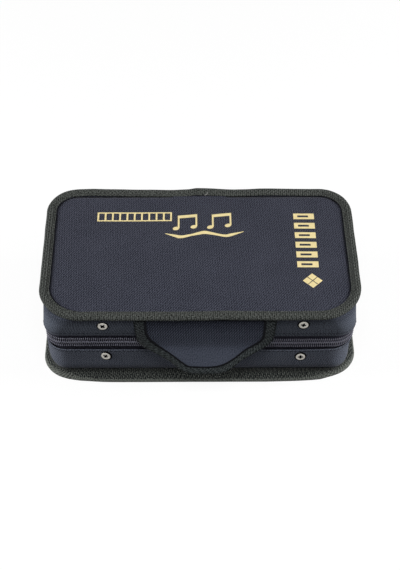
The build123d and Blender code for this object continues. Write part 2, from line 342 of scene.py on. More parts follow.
def outline(plan, out=0.0):
    """Points round a plan moved out by a distance, from the middle of the back, anticlockwise from above."""
    left, right, half_y = (max(size + out, 0.0) for size in plan[:3])
    radii = [min(max(radius + out, 0.0), left, right, half_y) for radius in plan[3]]
    centres = [
        (-left + radii[0], half_y - radii[0]),
        (-left + radii[1], -half_y + radii[1]),
        (right - radii[2], -half_y + radii[2]),
        (right - radii[3], half_y - radii[3]),
    ]
    corners = []
    for number, ((x, y), radius) in enumerate(zip(centres, radii)):
        angles = np.radians(90 + 90 * number + np.linspace(0, 90, CORNER + 1))
        corners.append(np.column_stack([x + radius * np.cos(angles), y + radius * np.sin(angles)]))

    def side(start, end, count):
        return start + (end - start) * np.linspace(0, 1, count, endpoint=False)[:, None]

    middle = np.array([0.0, half_y])
    points = []
    start = middle
    for corner, count in zip(corners, (LONG_SIDE // 2, SHORT_SIDE, LONG_SIDE, SHORT_SIDE)):
        points += [side(start, corner[0], count), corner[:-1]]
        start = corner[-1]
    points.append(side(start, middle, LONG_SIDE // 2))
    return np.concatenate(points)


def wall_plan(height):
    """Plan of the padded walls at a height: each side bellies and each corner rounds in its own way."""
    heights = (0, 4, 11.8, 18, 25, 32, BASE_RIM, LID_RIM, 57, 62, 68, 75)
    left = (126, 126, 122.9, 124.6, 125.7, 126.1, 126.3, 126.6, 127.2, 126.9, 126.7, 126.5)
    right = (126, 126, 122.5, 123.0, 123.8, 125.0, 126.2, 126.7, 126.7, 126.2, 125.9, 125.8)
    half_y = (71.8, 71.8, 72.1, 72.3, 72.3, 72.1, 71.9, 71.7, 72.5, 73.0, 73.4, 73.7)
    back = (26, 26, 24, 24, 24, 25, 25, 25, 24, 24, 25, 26)
    front_left = (20.7, 20.7, 12, 15, 17, 18, 17, 13, 14, 16, 20, 25)
    front_right = (22.7, 22.7, 12.5, 16, 19, 21, 21, 16, 15.5, 16.5, 20, 26)
    rows = (left, right, half_y, back, front_left, front_right)
    left, right, half_y, back, front_left, front_right = (np.interp(height, heights, row) for row in rows)
    return left, right, half_y, (back, front_left, front_right, back)


def lengths(points, closed=True):
    """Distance along a line to each of its points, and to its end where it is closed."""
    following = np.roll(points, -1, axis=0) if closed else points[1:]
    steps = np.linalg.norm(following - points[:len(following)], axis=1)
    return np.concatenate([[0.0], np.cumsum(steps)])


def outward(points):
    """Outward normals of a closed plan outline that runs anticlockwise."""
    ahead = np.roll(points, -1, axis=0) - np.roll(points, 1, axis=0)
    normals = np.stack([ahead[:, 1], -ahead[:, 0]], 1)
    return normals / np.linalg.norm(normals, axis=1)[:, None]


def ripple(along, total, seed, waves=(2, 3, 5, 7, 11)):
    """Gentle unevenness round a closed line, roughly from -1 to 1."""
    rng = np.random.default_rng(seed)
    value = np.zeros_like(along)
    for wave in waves:
        value += rng.uniform(0.5, 1.0) * np.sin(TURN * wave * along / total + rng.uniform(0, 6.28))
    return value / (0.6 * len(waves))


def softened(section, times=1, closed=True):
    """Section with its corners cut, so that a few points make a smooth fold."""
    points = np.array(section, float)
    for _ in range(times):
        following = np.roll(points, -1, axis=0) if closed else points[1:]
        here = points if closed else points[:-1]
        cut = np.stack([here * 0.75 + following * 0.25, here * 0.25 + following * 0.75], 1).reshape(-1, 2)
        points = cut if closed else np.concatenate([points[:1], cut[1:-1], points[-1:]])
    return points


def placed(name, data):
    """Object in the scene that holds a mesh, a lamp or a camera."""
    holder = bpy.data.objects.new(name, data)
    bpy.context.scene.collection.objects.link(holder)
    return holder


def to_mesh(name, faces, points, uv=None, sharp=40.0):
    """Clean mesh of points in mm: doubles merged, normals out, edges sharp past an angle.

    Level cloth takes its cloth map straight from above."""
    level = 0.8
    mesh = bpy.data.meshes.new(name)
    mesh.from_pydata((np.asarray(points) * MM).tolist(), [], faces)
    if uv is not None:
        layer = mesh.uv_layers.new(name="cloth")
        layer.data.foreach_set("uv", np.asarray(uv, np.float32).ravel())
    work = bmesh.new()
    work.from_mesh(mesh)
    bmesh.ops.remove_doubles(work, verts=work.verts, dist=0.01 * MM)
    bmesh.ops.dissolve_degenerate(work, edges=work.edges, dist=0.001 * MM)
    bmesh.ops.recalc_face_normals(work, faces=work.faces)
    cloth = work.loops.layers.uv.get("cloth")
    if cloth:
        for face in work.faces:
            if abs(face.normal.z) > level:
                for loop in face.loops:
                    loop[cloth].uv = loop.vert.co.xy
    work.to_mesh(mesh)
    work.free()
    mesh.shade_smooth()
    mesh.set_sharp_from_angle(angle=math.radians(sharp))
    return placed(name, mesh)


def grid_piece(name, points, across, along, round_section=True, round_line=False, sharp=60.0):
    """Piece through a grid of points (section, line, 3). Open lines get their ends closed.

    Across and along are the distances that its cloth map takes."""
    rows, columns = points.shape[:2]
    row_faces = rows if round_section else rows - 1
    column_faces = columns if round_line else columns - 1
    j, i = np.meshgrid(np.arange(row_faces), np.arange(column_faces), indexing="ij")
    j, i = j.ravel(), i.ravel()
    below, beside = (j + 1) % rows, (i + 1) % columns
    faces = np.stack([
        j * columns + i,
        j * columns + beside,
        below * columns + beside,
        below * columns + i,
    ], 1).tolist()
    u = np.stack([along[i], along[i + 1], along[i + 1], along[i]], 1)
    v = np.stack([across[j], across[j], across[j + 1], across[j + 1]], 1)
    uv = (np.stack([u, v], 2) * MM).reshape(-1, 2)
    if round_section and not round_line:
        first = [row * columns for row in range(rows)]
        last = [row * columns + columns - 1 for row in range(rows)]
        faces += [first[::-1], last]
        uv = np.concatenate([uv, np.zeros((2 * rows, 2))])
    return to_mesh(name, faces, points.reshape(-1, 3), uv, sharp)


def outside_gap(points, half):
    """Which points of a plan outline lie clear of a gap in the middle of the back."""
    return (points[:, 1] < 0) | (np.abs(points[:, 0]) >= half)


def ringed(name, plan, section, change, closed, open_back, sharp):
    """Piece with one section all round a plan, which may be a function of the height.

    The section's points are (out, height). change(ring) may move the points.
    open_back is the half width of the gap in the middle of the back, if there is one."""
    section = np.array(section, float)
    plans = [plan(height) if callable(plan) else plan for _, height in section]
    flat = [outline(here, out) for here, (out, _) in zip(plans, section)]
    base = outline(plans[0])
    normals = outward(base)
    along = lengths(base)
    ring = SimpleNamespace(
        out=section[:, 0][:, None],
        x=np.array([points[:, 0] for points in flat]),
        y=np.array([points[:, 1] for points in flat]),
        z=np.repeat(section[:, 1][:, None], len(base), axis=1),
        nx=normals[:, 0],
        ny=normals[:, 1],
        along=along[:-1],
        total=along[-1],
        base_x=base[:, 0],
        base_y=base[:, 1],
    )
    if change:
        change(ring)
    points = np.stack([ring.x, ring.y, ring.z], 2)
    across = lengths(section, closed)
    if open_back is None:
        return grid_piece(name, points, across, along, closed, True, sharp)
    kept = np.where(outside_gap(base, open_back))[0]
    return grid_piece(name, points[:, kept], across, along[kept], closed, False, sharp)


def folded(name, plan, section, change, open_back=None):
    """Strip of cloth or tape all round the case, its closed section softened into folds."""
    return ringed(name, plan, softened(section), change, True, open_back, 70)


def panel(name, plan, section, change=None):
    """Cloth or foam right across the case: its section starts and ends in the middle."""
    return ringed(name, plan, section, change, False, None, 40)


def push(ring, amount):
    """Moves ring points along the outline's outward normals, in mm."""
    ring.x = ring.x + ring.nx * amount
    ring.y = ring.y + ring.ny * amount


def ramp(value, start, over):
    """0 up to the start, then rising to 1 over a distance, which is negative where it rises downwards."""
    return np.clip((value - start) / over, 0, 1)


def at_height(points, height):
    """Plan points in mm with their height, which is one number or one for each."""
    return np.column_stack([points, np.full(len(points), height)])


def flat_run(start, end, height, steps):
    """Section points from one distance out to another at one height."""
    return [(start + (end - start) * step / steps, height) for step in range(steps + 1)]


def finished(piece, body, finish, slot, *nodes):
    """Gives a piece its finish, its body and the CAD nodes that it stands for."""
    piece.data.materials.clear()
    piece.data.materials.append(finish)
    if body:
        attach(piece, body)
    if nodes:
        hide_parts(*nodes)


def from_node(name, node, bevel):
    """Copy of a CAD node with its facets merged and its edges broken."""
    mesh = NODES[node].data.copy()
    mesh.name = name
    mesh.materials.clear()
    work = bmesh.new()
    work.from_mesh(mesh)
    bmesh.ops.remove_doubles(work, verts=work.verts, dist=0.002 * MM)
    bmesh.ops.dissolve_limit(work, angle_limit=math.radians(1), verts=work.verts, edges=work.edges)
    work.to_mesh(mesh)
    work.free()
    piece = placed(name, mesh)
    rounding = piece.modifiers.new("edges", "BEVEL")
    rounding.width = bevel * MM
    rounding.segments = 2
    rounding.limit_method = "ANGLE"
    rounding.angle_limit = math.radians(35)
    mesh.shade_smooth()
    mesh.set_sharp_from_angle(angle=math.radians(40))
    return piece


# Repeating things: teeth, stitches and rivets

def repeat_tree(turn_about):
    """Node tree that sets one small piece at even steps along a line."""
    tree = bpy.data.node_groups.new("set_along_a_line", "GeometryNodeTree")
    inputs = {
        "Line": "Geometry",
        "Count": "Int",
        "Piece": "Object",
        "Size Scatter": "Float",
        "Tilt Scatter": "Float",
        "Seed": "Int",
        "Finish": "Material",
    }
    for name, kind in inputs.items():
        tree.interface.new_socket(name, in_out="INPUT", socket_type="NodeSocket" + kind)
    tree.interface.new_socket("Set Pieces", in_out="OUTPUT", socket_type="NodeSocketGeometry")

    wiring = Wiring(tree)
    line = wiring.node("NodeGroupInput", result="Line")

    def chance(low, high):
        """Random number between two signals, drawn from the seed."""
        sockets = {2: low, 3: high, "Seed": line.other("Seed")}
        return wiring.node("FunctionNodeRandomValue", {"data_type": "FLOAT"}, sockets, 1)

    curve = wiring.node("GeometryNodeMeshToCurve", None, {"Mesh": line})
    sockets = {"Curve": curve, "Count": line.other("Count")}
    spots = wiring.node("GeometryNodeCurveToPoints", {"mode": "COUNT"}, sockets, "Points")
    settings = {"axis": "X", "pivot_axis": turn_about}
    facing = wiring.node("FunctionNodeAlignRotationToVector", settings, {"Vector": spots.other("Tangent")})
    scatter = line.other("Size Scatter")
    size = chance(1.0 - scatter, 1.0 + scatter)
    scatter = line.other("Tilt Scatter")
    tilt = wiring.node("ShaderNodeCombineXYZ", None, {"Z": chance(scatter * -1.0, scatter)})
    turned = wiring.node("FunctionNodeRotateRotation", None, {0: facing, 1: tilt})
    shape = wiring.node("GeometryNodeObjectInfo", None, {"Object": line.other("Piece")}, "Geometry")
    sockets = {"Points": spots, "Instance": shape, "Rotation": turned, "Scale": size}
    copies = wiring.node("GeometryNodeInstanceOnPoints", None, sockets)
    real = wiring.node("GeometryNodeRealizeInstances", None, {"Geometry": copies})
    sockets = {"Geometry": real, "Material": line.other("Finish")}
    dressed = wiring.node("GeometryNodeSetMaterial", None, sockets)
    wiring.node("NodeGroupOutput", None, {0: dressed})
    return tree


def repeated(name, tree, line, closed, shape, count, finish, size_scatter=0.0, tilt_scatter=0.0, seed=1):
    """Plain mesh of a small piece set along a line of points in mm."""
    mesh = bpy.data.meshes.new(name)
    ends = [(k, k + 1) for k in range(len(line) - 1)]
    if closed:
        ends.append((len(line) - 1, 0))
    mesh.from_pydata((np.asarray(line) * MM).tolist(), ends, [])
    carrier = placed(name + "_line", mesh)
    modifier = carrier.modifiers.new("set", "NODES")
    modifier.node_group = tree
    values = {
        "Count": count,
        "Piece": shape,
        "Size Scatter": size_scatter,
        "Tilt Scatter": tilt_scatter,
        "Seed": seed,
        "Finish": finish,
    }
    for socket in tree.interface.items_tree:
        if socket.name in values:
            modifier[socket.identifier] = values[socket.name]
    bpy.context.view_layer.update()
    graph = bpy.context.evaluated_depsgraph_get()
    made = bpy.data.meshes.new_from_object(carrier.evaluated_get(graph))
    made.name = name
    bpy.data.objects.remove(carrier)
    return placed(name, made)


def small_shape(name, levels, sides, power=2.0):
    """Small closed shape through levels, in mm.

    Each level gives a height, a half width, a half depth and shifts inwards and along."""
    points = []
    for height, wide, deep, inward, beside in levels:
        for step in range(sides):
            angle = TURN * (step + 0.5) / sides
            c, s = math.cos(angle), math.sin(angle)
            across = math.copysign(abs(c) ** (2 / power), c) * wide
            depth = math.copysign(abs(s) ** (2 / power), s) * deep
            points.append((across + beside, depth + inward, height))
    faces = [list(range(sides))[::-1]]
    for low in range(0, len(points) - sides, sides):
        high = low + sides
        for step in range(sides):
            beside = (step + 1) % sides
            faces.append([low + step, low + beside, high + beside, high + step])
    faces.append(list(range(len(points) - sides, len(points))))
    return to_mesh(name, faces, points, sharp=60)


def stitch_shape(name, length, thick):
    """One stitch: a short bar of thread, sunk at both ends, lying along X."""
    levels = [(-0.5, 0.1), (-0.42, 0.4), (0, 0.5), (0.42, 0.4), (0.5, 0.1)]
    scaled = [(place * length, wide * thick, wide * thick, 0, 0) for place, wide in levels]
    piece = small_shape(name, scaled, 6)
    piece.data.transform(Matrix.Rotation(math.radians(90), 4, "Y"))
    return piece


# The case's pieces

def bumpy_back(x):
    """How far the lid's edge stands up or down along the back, in mm."""
    places = [-125, -108, -92, -70, -46, -23, -10, -2, 8, 20, 31, 42, 52, 64, 82, 105, 125]
    heights = [0, 0.1, 0.8, 0.1, -0.6, -0.7, -0.1, 0.7, 0.35, -0.1, -0.6, 0, 0.7, 0.6, 0.1, 0, 0]
    return np.interp(x, places, heights)


def lid_height(x, y):
    """Height of the lid's cloth at a point, in mm: a slight crown with shallow waves."""
    crown = 0.55 * (1 - np.abs(x / 124) ** 3) * (1 - np.abs(y / 70) ** 3)
    waves = 0.12 * np.sin(x / 21 + 1.0) * np.sin(y / 17 + 0.4) + 0.08 * np.sin(x / 9 - y / 23)
    inside = ramp(np.abs(y), 70, -12) * ramp(np.abs(x), 124, -12)
    return PANEL_TOP + crown + waves * inside


def crevice_share(x, y):
    """1 where a dark crevice parts the lid's cloth from its tape: not in front or behind the middle."""
    front = ramp(y, -48, -8) * ramp(x, -100, 8)
    back = ramp(y, 50, 8) * ramp(np.abs(x), 28, -6)
    return 1 - np.maximum(front, back)


def lid_cloth(finish):
    """The lid's panel: turned in under the tape, up through the crevice and over the crowned top."""
    section = flat_run(-LID_EDGE[2], -5, 75.6, 12)
    section += [
        (-1.2, 75.6), (-1.0, 76.4), (-1.3, 77.0), (-4.0, 77.1), (-7.0, 77.0), (-7.8, 76.7), (-8.3, 76.2),
        (-8.9, 76.3), (-9.4, 76.8), (-10.2, 77.1),
    ]
    crown = [(-12, PANEL_TOP), *flat_run(-15, -LID_EDGE[2], PANEL_TOP, 24)]
    closed_height = 77.05

    def crowned(ring):
        top = np.zeros_like(ring.z, bool)
        top[-len(crown):] = True
        ring.z = np.where(top, lid_height(ring.x, ring.y), ring.z)
        crevice = (ring.out < -7.4) & (ring.out > -9.9) & ~top & (ring.z > 76)
        fill = (1 - crevice_share(ring.x, ring.y)) * (closed_height - ring.z)
        ring.z = ring.z + np.where(crevice, fill, 0)

    piece = panel("lid_cloth", LID_EDGE, section + crown, crowned)
    finished(piece, "lid", finish, "case_fabric", "lid_panel")


LID_TAPE = [
    (-8.0, 77.0), (-8.2, 77.6), (-7.9, 78.15), (-7.3, 78.3), (-6.6, 78.2), (-6.1, 77.75), (-5.75, 77.75),
    (-5.2, 78.2), (-4.3, 78.65), (-3.1, 78.75), (-1.9, 78.5), (-0.9, 78.0), (-0.2, 77.3), (0.0, 76.5),
    (-0.15, 75.7), (-0.8, 74.95), (-1.8, 74.5), (-3.0, 74.1), (-3.95, 73.9), (-3.95, 74.6), (-3.0, 74.75),
    (-1.7, 75.1), (-1.0, 75.6), (-0.85, 76.4), (-1.3, 77.2), (-2.5, 77.65), (-4.5, 77.45), (-6.0, 77.0),
]


def groove_share(x, y):
    """How deep the stitched groove lies in the lid's tape: full along the left and the left of the back."""
    left = ramp(x, -98, -8) * ramp(y, -70, 10)
    back_left = ramp(y, 60, 8) * ramp(x, -22, -14)
    back_right = 0.6 * ramp(y, 60, 8) * ramp(x, 28, 14) * ramp(x, 104, -10)
    return np.maximum(np.maximum(left, back_left), np.maximum(back_right, 0.08))


def lid_edge_tape(finish):
    """Tape folded over the lid's edge, a little uneven, with its ends lapped in the middle of the back."""
    groove_depth = 0.62

    def uneven(ring):
        x, y = ring.base_x, ring.base_y
        behind = ramp(y, 60, 14)
        before = ramp(y, -60, -14)
        lift = bumpy_back(x) * behind + 0.16 * ripple(ring.along, ring.total, 3, (5, 9, 14, 23))
        lift += 0.45 * before * np.exp(-((x - 21) / 13) ** 2)
        sway = 0.18 * ripple(ring.along, ring.total, 4, (4, 7, 12, 19, 31))
        groove = (ring.out > -6.7) & (ring.out < -5.1) & (ring.z > 77.6)
        filling = (1 - groove_share(x, y)) * groove_depth
        ring.z = ring.z + np.where(groove, filling, 0)
        lap = ramp(x, -8, 4) * ramp(x, 26, -14) * (behind > 0.95)
        ring.z = ring.z + lift + 0.3 * lap * ramp(ring.z, 76.2, 1.2)
        push(ring, sway + 0.25 * lap * (ring.out > -2.0) + 1.1 * behind * ramp(ring.out, -4, 4))

    piece = folded("lid_edge_tape", LID_EDGE, LID_TAPE, uneven)
    finished(piece, "lid", finish, "binding_tape", "lid_binding")


def tube(name, points, radius):
    """Thin thread along a line of points in mm."""
    sides = 7
    points = np.array(points, float)
    ahead = np.gradient(points, axis=0)
    ahead /= np.linalg.norm(ahead, axis=1)[:, None]
    beside = np.cross(ahead, (0, 0, 1))
    beside /= np.linalg.norm(beside, axis=1)[:, None]
    above = np.cross(beside, ahead)
    angles = np.linspace(0, TURN, sides, endpoint=False)[:, None, None]
    grid = points + radius * (np.cos(angles) * beside + np.sin(angles) * above)
    across = np.linspace(0, TURN * radius, sides + 1)
    return grid_piece(name, grid, across, lengths(points, False))


def loose_thread_end(finish):
    """Curled end of the sewing thread, where the tape's ends lap behind the lid."""
    steps = 14
    line = []
    for step, angle in enumerate(np.radians(np.linspace(115, -95, steps + 1))):
        x, y = 4.6 + 2.6 * math.cos(angle), 70.5 + 3.1 * math.sin(angle)
        line.append((x, y, 79.0 - 0.25 * step / steps))
    piece = tube("loose_thread_end", line, 0.28)
    finished(piece, "lid", finish, "binding_tape")


def seam_lines(out, height):
    """Left and right parts of the crevice between the lid's cloth and its tape."""
    points = outline(LID_EDGE, out)
    x, y = points[:, 0], points[:, 1]
    left = points[(x < -24) & ((y > -40) | (x < -97))]
    right = points[(x > 24) & (y > -45)]
    return at_height(left, height), at_height(right, height)


def wall_change(seed, low, high, amount):
    """Soft hollows and swells in a wall between two heights."""
    def soft(ring):
        belly = np.sin(np.pi * ramp(ring.z, low, high - low))
        push(ring, amount * belly * (ripple(ring.along, ring.total, seed) - 0.2))
    return soft


# How far the rims and the zip stand up or down along the front: places across and heights, in mm
LID_RIM_SAG = ([-120, -70, 75, 120], [1.0, 0.9, -0.6, -0.2])
BASE_RIM_SAG = ([-120, -70, 75, 120], [-0.9, -1.3, -2.4, -1.4])
ZIP_SAG = ([-120, -60, 75, 120], [0, 0, -2.0, -1.5])


def sag(x, y, line):
    """How far a rim or the zip is off level at a point, in mm: all of it in front, nothing behind."""
    return np.interp(x, *line) * np.clip(0.5 - y / 60, 0, 1)


def lid_rim_sag(x, y, height):
    """The sag of the lid's wall, which fades out upwards."""
    return sag(x, y, LID_RIM_SAG) * ramp(height, 60, -4)


def base_rim_sag(x, y, height):
    """The sag of the base's wall, which fades out downwards."""
    return sag(x, y, BASE_RIM_SAG) * ramp(height, 30, 4)


def lid_side_cloth(finish):
    section = [
        (0, 74.9), (0, 73), (0, 70), (0, 66.5), (0, 63), (0, 60), (0, 57.5), (0.05, 56.9),
        (-0.1, LID_RIM_SEAM), (0.05, 56.1), (0.1, 54.6), (0.12, 53.4), (-0.05, 52.75), (-0.55, 52.5),
        (-1.1, 52.8), (-1.3, 54), (-1.6, 57), (-1.8, 66), (-2.2, 74.9),
    ]
    padded = wall_change(11, 53, 75, 0.3)

    def uneven(ring):
        padded(ring)
        ring.z = ring.z + lid_rim_sag(ring.x, ring.y, ring.z)
        behind_tongue = ramp(np.abs(ring.x - TONGUE_MIDDLE), 57, -10) * (ring.y < 0) * (ring.out > -0.6)
        ring.y = ring.y + behind_tongue * np.clip(0.2 - WALL[2] - ring.y, 0, 2)

    piece = folded("lid_side_cloth", wall_plan, section, uneven)
    finished(piece, "lid", finish, "case_fabric", "lid_wall")


def base_side_cloth(finish):
    section = [
        (-2.3, 4.9), (-3.2, 6.5), (-3.3, 8.8), (-2.9, 10.2), (-2.2, 11.2), (-1.5, 12.3), (-0.85, 13.6),
        (-0.3, 15.1), (0.1, 16.8), (0.3, 19), (0.15, 22), (0, 26), (0, 29), (0, 32), (0, 35.4),
        (-0.12, BASE_RIM_SEAM), (0.08, 36.2), (0.1, 36.7), (-0.1, 37.15), (-0.5, 37.35), (-1.0, 37.2),
        (-1.3, 36), (-1.5, 33), (-1.5, 18), (-2.7, 12.9), (-4.0, 10.6), (-4.0, 4.9),
    ]
    padded = wall_change(12, 12, 37, 0.35)

    def uneven(ring):
        padded(ring)
        ring.z = ring.z + base_rim_sag(ring.x, ring.y, ring.z)

    piece = folded("base_side_cloth", wall_plan, section, uneven)
    finished(piece, "base", finish, "case_fabric", "base_wall")


BASE_TAPE = [
    (-2.5, 9.7), (-2.0, 10.1), (-1.7, 9.7), (-1.75, 8.9), (-1.85, 8.0), (-1.85, 7.1), (-1.6, 6.3),
    (-0.8, 5.6), (0.5, 4.95), (2.1, 4.2), (3.6, 3.4), (4.7, 2.5), (5.25, 1.6), (5.2, 0.7), (4.6, 0.1),
    (3.6, 0), (0, 0), (-3.9, 0), (-3.9, 0.75), (0, 0.8), (3.6, 0.8), (4.3, 1.2), (3.8, 2.1), (2.6, 2.9),
    (1.0, 3.7), (-0.6, 4.4), (-2.1, 5.1), (-2.8, 6.0), (-3.0, 7.1), (-3.0, 8.2), (-2.8, 9.1),
]


def foot_bow(ring):
    """The foot's front edge draws in towards both corners."""
    left = np.interp(-ring.x, [66, 80, 87, 93, 100, 107, 113], [0, 0.2, 0.7, 1.3, 1.8, 3.1, 3.7])
    right = np.interp(ring.x, [55, 67, 80, 87, 93, 100, 107, 113], [0, 0.3, 0.7, 1.15, 1.6, 2.4, 4.7, 5.4])
    share = ramp(ring.out, -3.9, 9.1) * ramp(ring.z, 11.5, -8)
    ring.y = ring.y + (left + right) * share * (ring.y < -35)


def base_edge_tape(finish):
    """Tape folded round the bottom seam: tucked in below the wall, then sloping out to the foot."""
    def uneven(ring):
        free = ramp(ring.z, 0, 4)
        lift = 0.25 * ripple(ring.along, ring.total, 5, (6, 11, 17, 29))
        sway = 0.2 * ripple(ring.along, ring.total, 6, (5, 9, 15, 27))
        foot_bow(ring)
        ring.z = ring.z + lift * free * ramp(ring.z, 4, 5)
        push(ring, sway * free * (ring.out > 1.0))

    piece = folded("base_edge_tape", wall_plan, BASE_TAPE, uneven)
    finished(piece, "base", finish, "binding_tape", "base_binding")


def base_under_cloth(finish):
    """Bottom panel: level with the tape inside it."""
    section = [
        *flat_run(-WALL[2], -5.4, 0.05, 16),
        (-4.6, 0.1), (-4.2, 0.5), (-4.1, 0.9), (-1.2, 0.9), (1.6, 1.0), (1.7, 1.6), (1.5, 2.3), (-1, 2.4),
        *flat_run(-6, -WALL[2], 2.4, 8),
    ]
    piece = panel("base_under_cloth", wall_plan, section, foot_bow)
    finished(piece, "base", finish, "case_fabric", "base_panel")


def tray_lining(finish):
    """Lining of the base: across the floor, up the wall and over the top of its foam."""
    section = [
        *flat_run(-WALL[2], -10, 4.45, 8),
        (-7.4, 4.5), (-7.1, 5.0), (-7.1, 20), (-6.6, 34), (-5.4, 37.2), (-4.0, 37.5), (-2.6, 37.3),
        (-2.5, 37.9), (-3.2, 38.35), (-4.6, 38.55), (-6.2, 38.4), (-7.3, 37.8), (-7.95, 36.6),
        (-8.0, 34), (-8.0, 20), (-8.0, 6.2), (-8.6, 5.2),
        *flat_run(-11, -WALL[2], 5.15, 8),
    ]
    piece = panel("tray_lining", WALL, section)
    finished(piece, "base", finish, "lining_fabric", "base_lining")


def lid_inside_lining(finish):
    """Lining of the lid, made as the base's is and hung the other way up."""
    section = [
        *flat_run(-WALL[2], -10, 73.55, 8),
        (-7.3, 73.4), (-7.1, 72.8), (-7.1, 66), (-6.6, 56.5), (-5.4, 53.7), (-4.0, 53.4), (-2.6, 53.6),
        (-2.5, 52.9), (-3.2, 52.45), (-4.6, 52.25), (-6.2, 52.4), (-7.3, 53.0), (-7.95, 54.2),
        (-8.0, 57), (-8.0, 64), (-8.0, 71.8), (-8.6, 72.8),
        *flat_run(-11, -WALL[2], 72.85, 8),
    ]
    piece = panel("lid_inside_lining", WALL, section)
    finished(piece, "lid", finish, "lining_fabric", "lid_lining")


def lid_pad(finish):
    """Foam pad that holds the harmonicas down: its free face is crowned and its edge rounded."""
    section = [
        *flat_run(-WALL[2], -10, 72.7, 8),
        (-8.8, 72.3), (-8.5, 71.5), (-8.5, 66), (-8.6, 60), (-8.9, 58.6), (-9.8, 57.6), (-11.5, 57.0),
        *flat_run(-15, -WALL[2], 56.8, 14),
    ]

    def crowned(ring):
        free = ring.z < 57.3
        swell = 0.5 * (1 - np.abs(ring.x / 120) ** 4) * (1 - np.abs(ring.y / 66) ** 4)
        ring.z = np.where(free, ring.z - swell + 0.5, ring.z)

    piece = panel("lid_pad", WALL, section, crowned)
    finished(piece, "lid", finish, "tray_foam", "lid_foam_pad")


def tray_floor(finish):
    section = [
        *flat_run(-WALL[2], -10, 5.3, 8), (-8.9, 5.5), (-8.6, 6.2), (-8.6, 14.6), (-8.9, 15.1),
        *flat_run(-10, -WALL[2], 15.2, 8),
    ]
    piece = panel("tray_floor", WALL, section)
    finished(piece, "base", finish, "tray_foam", "tray_floor_foam")


def tray_slots(finish):
    piece = from_node("tray_slots", "tray_slot_foam", 0.5)
    finished(piece, "base", finish, "tray_foam", "tray_slot_foam")


def zip_tapes(finish):
    """Tapes that carry the teeth: near them they lie just behind, further off they go in behind the walls."""
    lower = [
        (-2.0, 45.6), (-1.8, 45.3), (-1.8, 41.2), (-2.0, 40.0), (-2.6, 38.4), (-2.9, 36), (-2.6, 31),
        (-3.1, 31), (-3.4, 36), (-3.1, 38.4), (-2.5, 40.0), (-2.25, 41.2), (-2.25, 45.3),
    ]
    upper = [
        (-2.0, 46.0), (-1.8, 46.3), (-1.8, 49.6), (-2.0, 51.2), (-2.6, 52.8), (-2.9, 55), (-2.6, 60.4),
        (-3.1, 60.4), (-3.4, 55), (-3.2, 52.8), (-2.6, 51.4), (-2.3, 49.6), (-2.3, 46.3),
    ]

    def sagging(ring):
        ring.z = ring.z + sag(ring.x, ring.y, ZIP_SAG)

    for name, body, section, node in (
        ("lower_zip_cloth", "base", lower, "lower_zip_tape"),
        ("upper_zip_cloth", "lid", upper, "upper_zip_tape"),
    ):
        piece = folded(name, wall_plan, section, sagging, ZIP_GAP - 0.9)
        finished(piece, body, finish, "zip_tape", node)


def zip_line(depth, height):
    """Line round the front and the sides at a depth behind the wall's face, in mm."""
    points = outline(wall_plan(ZIP), -depth)
    kept = points[outside_gap(points, ZIP_GAP)]
    return evenly(at_height(kept, height + sag(kept[:, 0], kept[:, 1], ZIP_SAG)), ZIP_STEP)


def teeth(tree, finish, thread_finish):
    """Coil teeth of both halves of the zip, half a pitch apart, with the thread that sews them on."""
    line = zip_line(0.85, ZIP)
    half_pitch = int(round(TOOTH_PITCH / 2 / ZIP_STEP))
    count = int(round(lengths(line, False)[-1] / TOOTH_PITCH))
    levels = [
        (4.4, 0.15, 0.2, 0.4, 0.45), (4.1, 0.42, 0.55, 0.0, 0.42), (3.5, 0.42, 0.6, -0.1, 0.35),
        (3.0, 0.3, 0.4, 0.4, 0.25), (1.4, 0.28, 0.4, 0.45, -0.1), (0.85, 0.42, 0.6, -0.05, -0.2),
        (0.1, 0.44, 0.65, -0.1, -0.3), (-0.4, 0.2, 0.3, 0.35, -0.35),
    ]
    loop = [(-0.7, 0.1, 0.1, 0, 0), (-0.4, 0.22, 0.2, 0, 0), (0.4, 0.22, 0.2, 0, 0), (0.7, 0.1, 0.1, 0, 0)]
    for name, body, way, node, stretch, part in (
        ("lower_teeth", "base", -1, "lower_zip_coil", 1.08, line[:-half_pitch]),
        ("upper_teeth", "lid", 1, "upper_zip_coil", 1.05, line[half_pitch:]),
    ):
        sized = [(way * stretch * height, *sizes) for height, *sizes in levels]
        tooth = small_shape(name + "_one", sized, 6, 2.4)
        piece = repeated(
            name, tree, part, False, tooth, count, finish, size_scatter=0.03, tilt_scatter=0.03, seed=3 + way,
        )
        bpy.data.objects.remove(tooth)
        finished(piece, body, finish, "zip_coil", node)
        stitch = small_shape(name + "_loop", loop, 5)
        for number, (depth, height) in enumerate(((1.7, 4.9), (1.0, 2.0))):
            place = zip_line(depth, ZIP + way * stretch * height)
            row = repeated(
                f"{name}_thread_{number}", tree, place, False, stitch, count, thread_finish,
                size_scatter=0.12, tilt_scatter=0.1, seed=9,
            )
            finished(row, body, thread_finish, "zip_tape")
        bpy.data.objects.remove(stitch)


def stitch_row(name, tree, line, closed, body, shape, finish, pitch):
    """Row of stitches along a line of points in mm, each a little different."""
    count = int(round(lengths(line, closed)[-1] / pitch))
    piece = repeated(
        name, tree, line, closed, shape, count, finish, size_scatter=0.06, tilt_scatter=0.04, seed=7,
    )
    finished(piece, body, finish, "binding_tape")


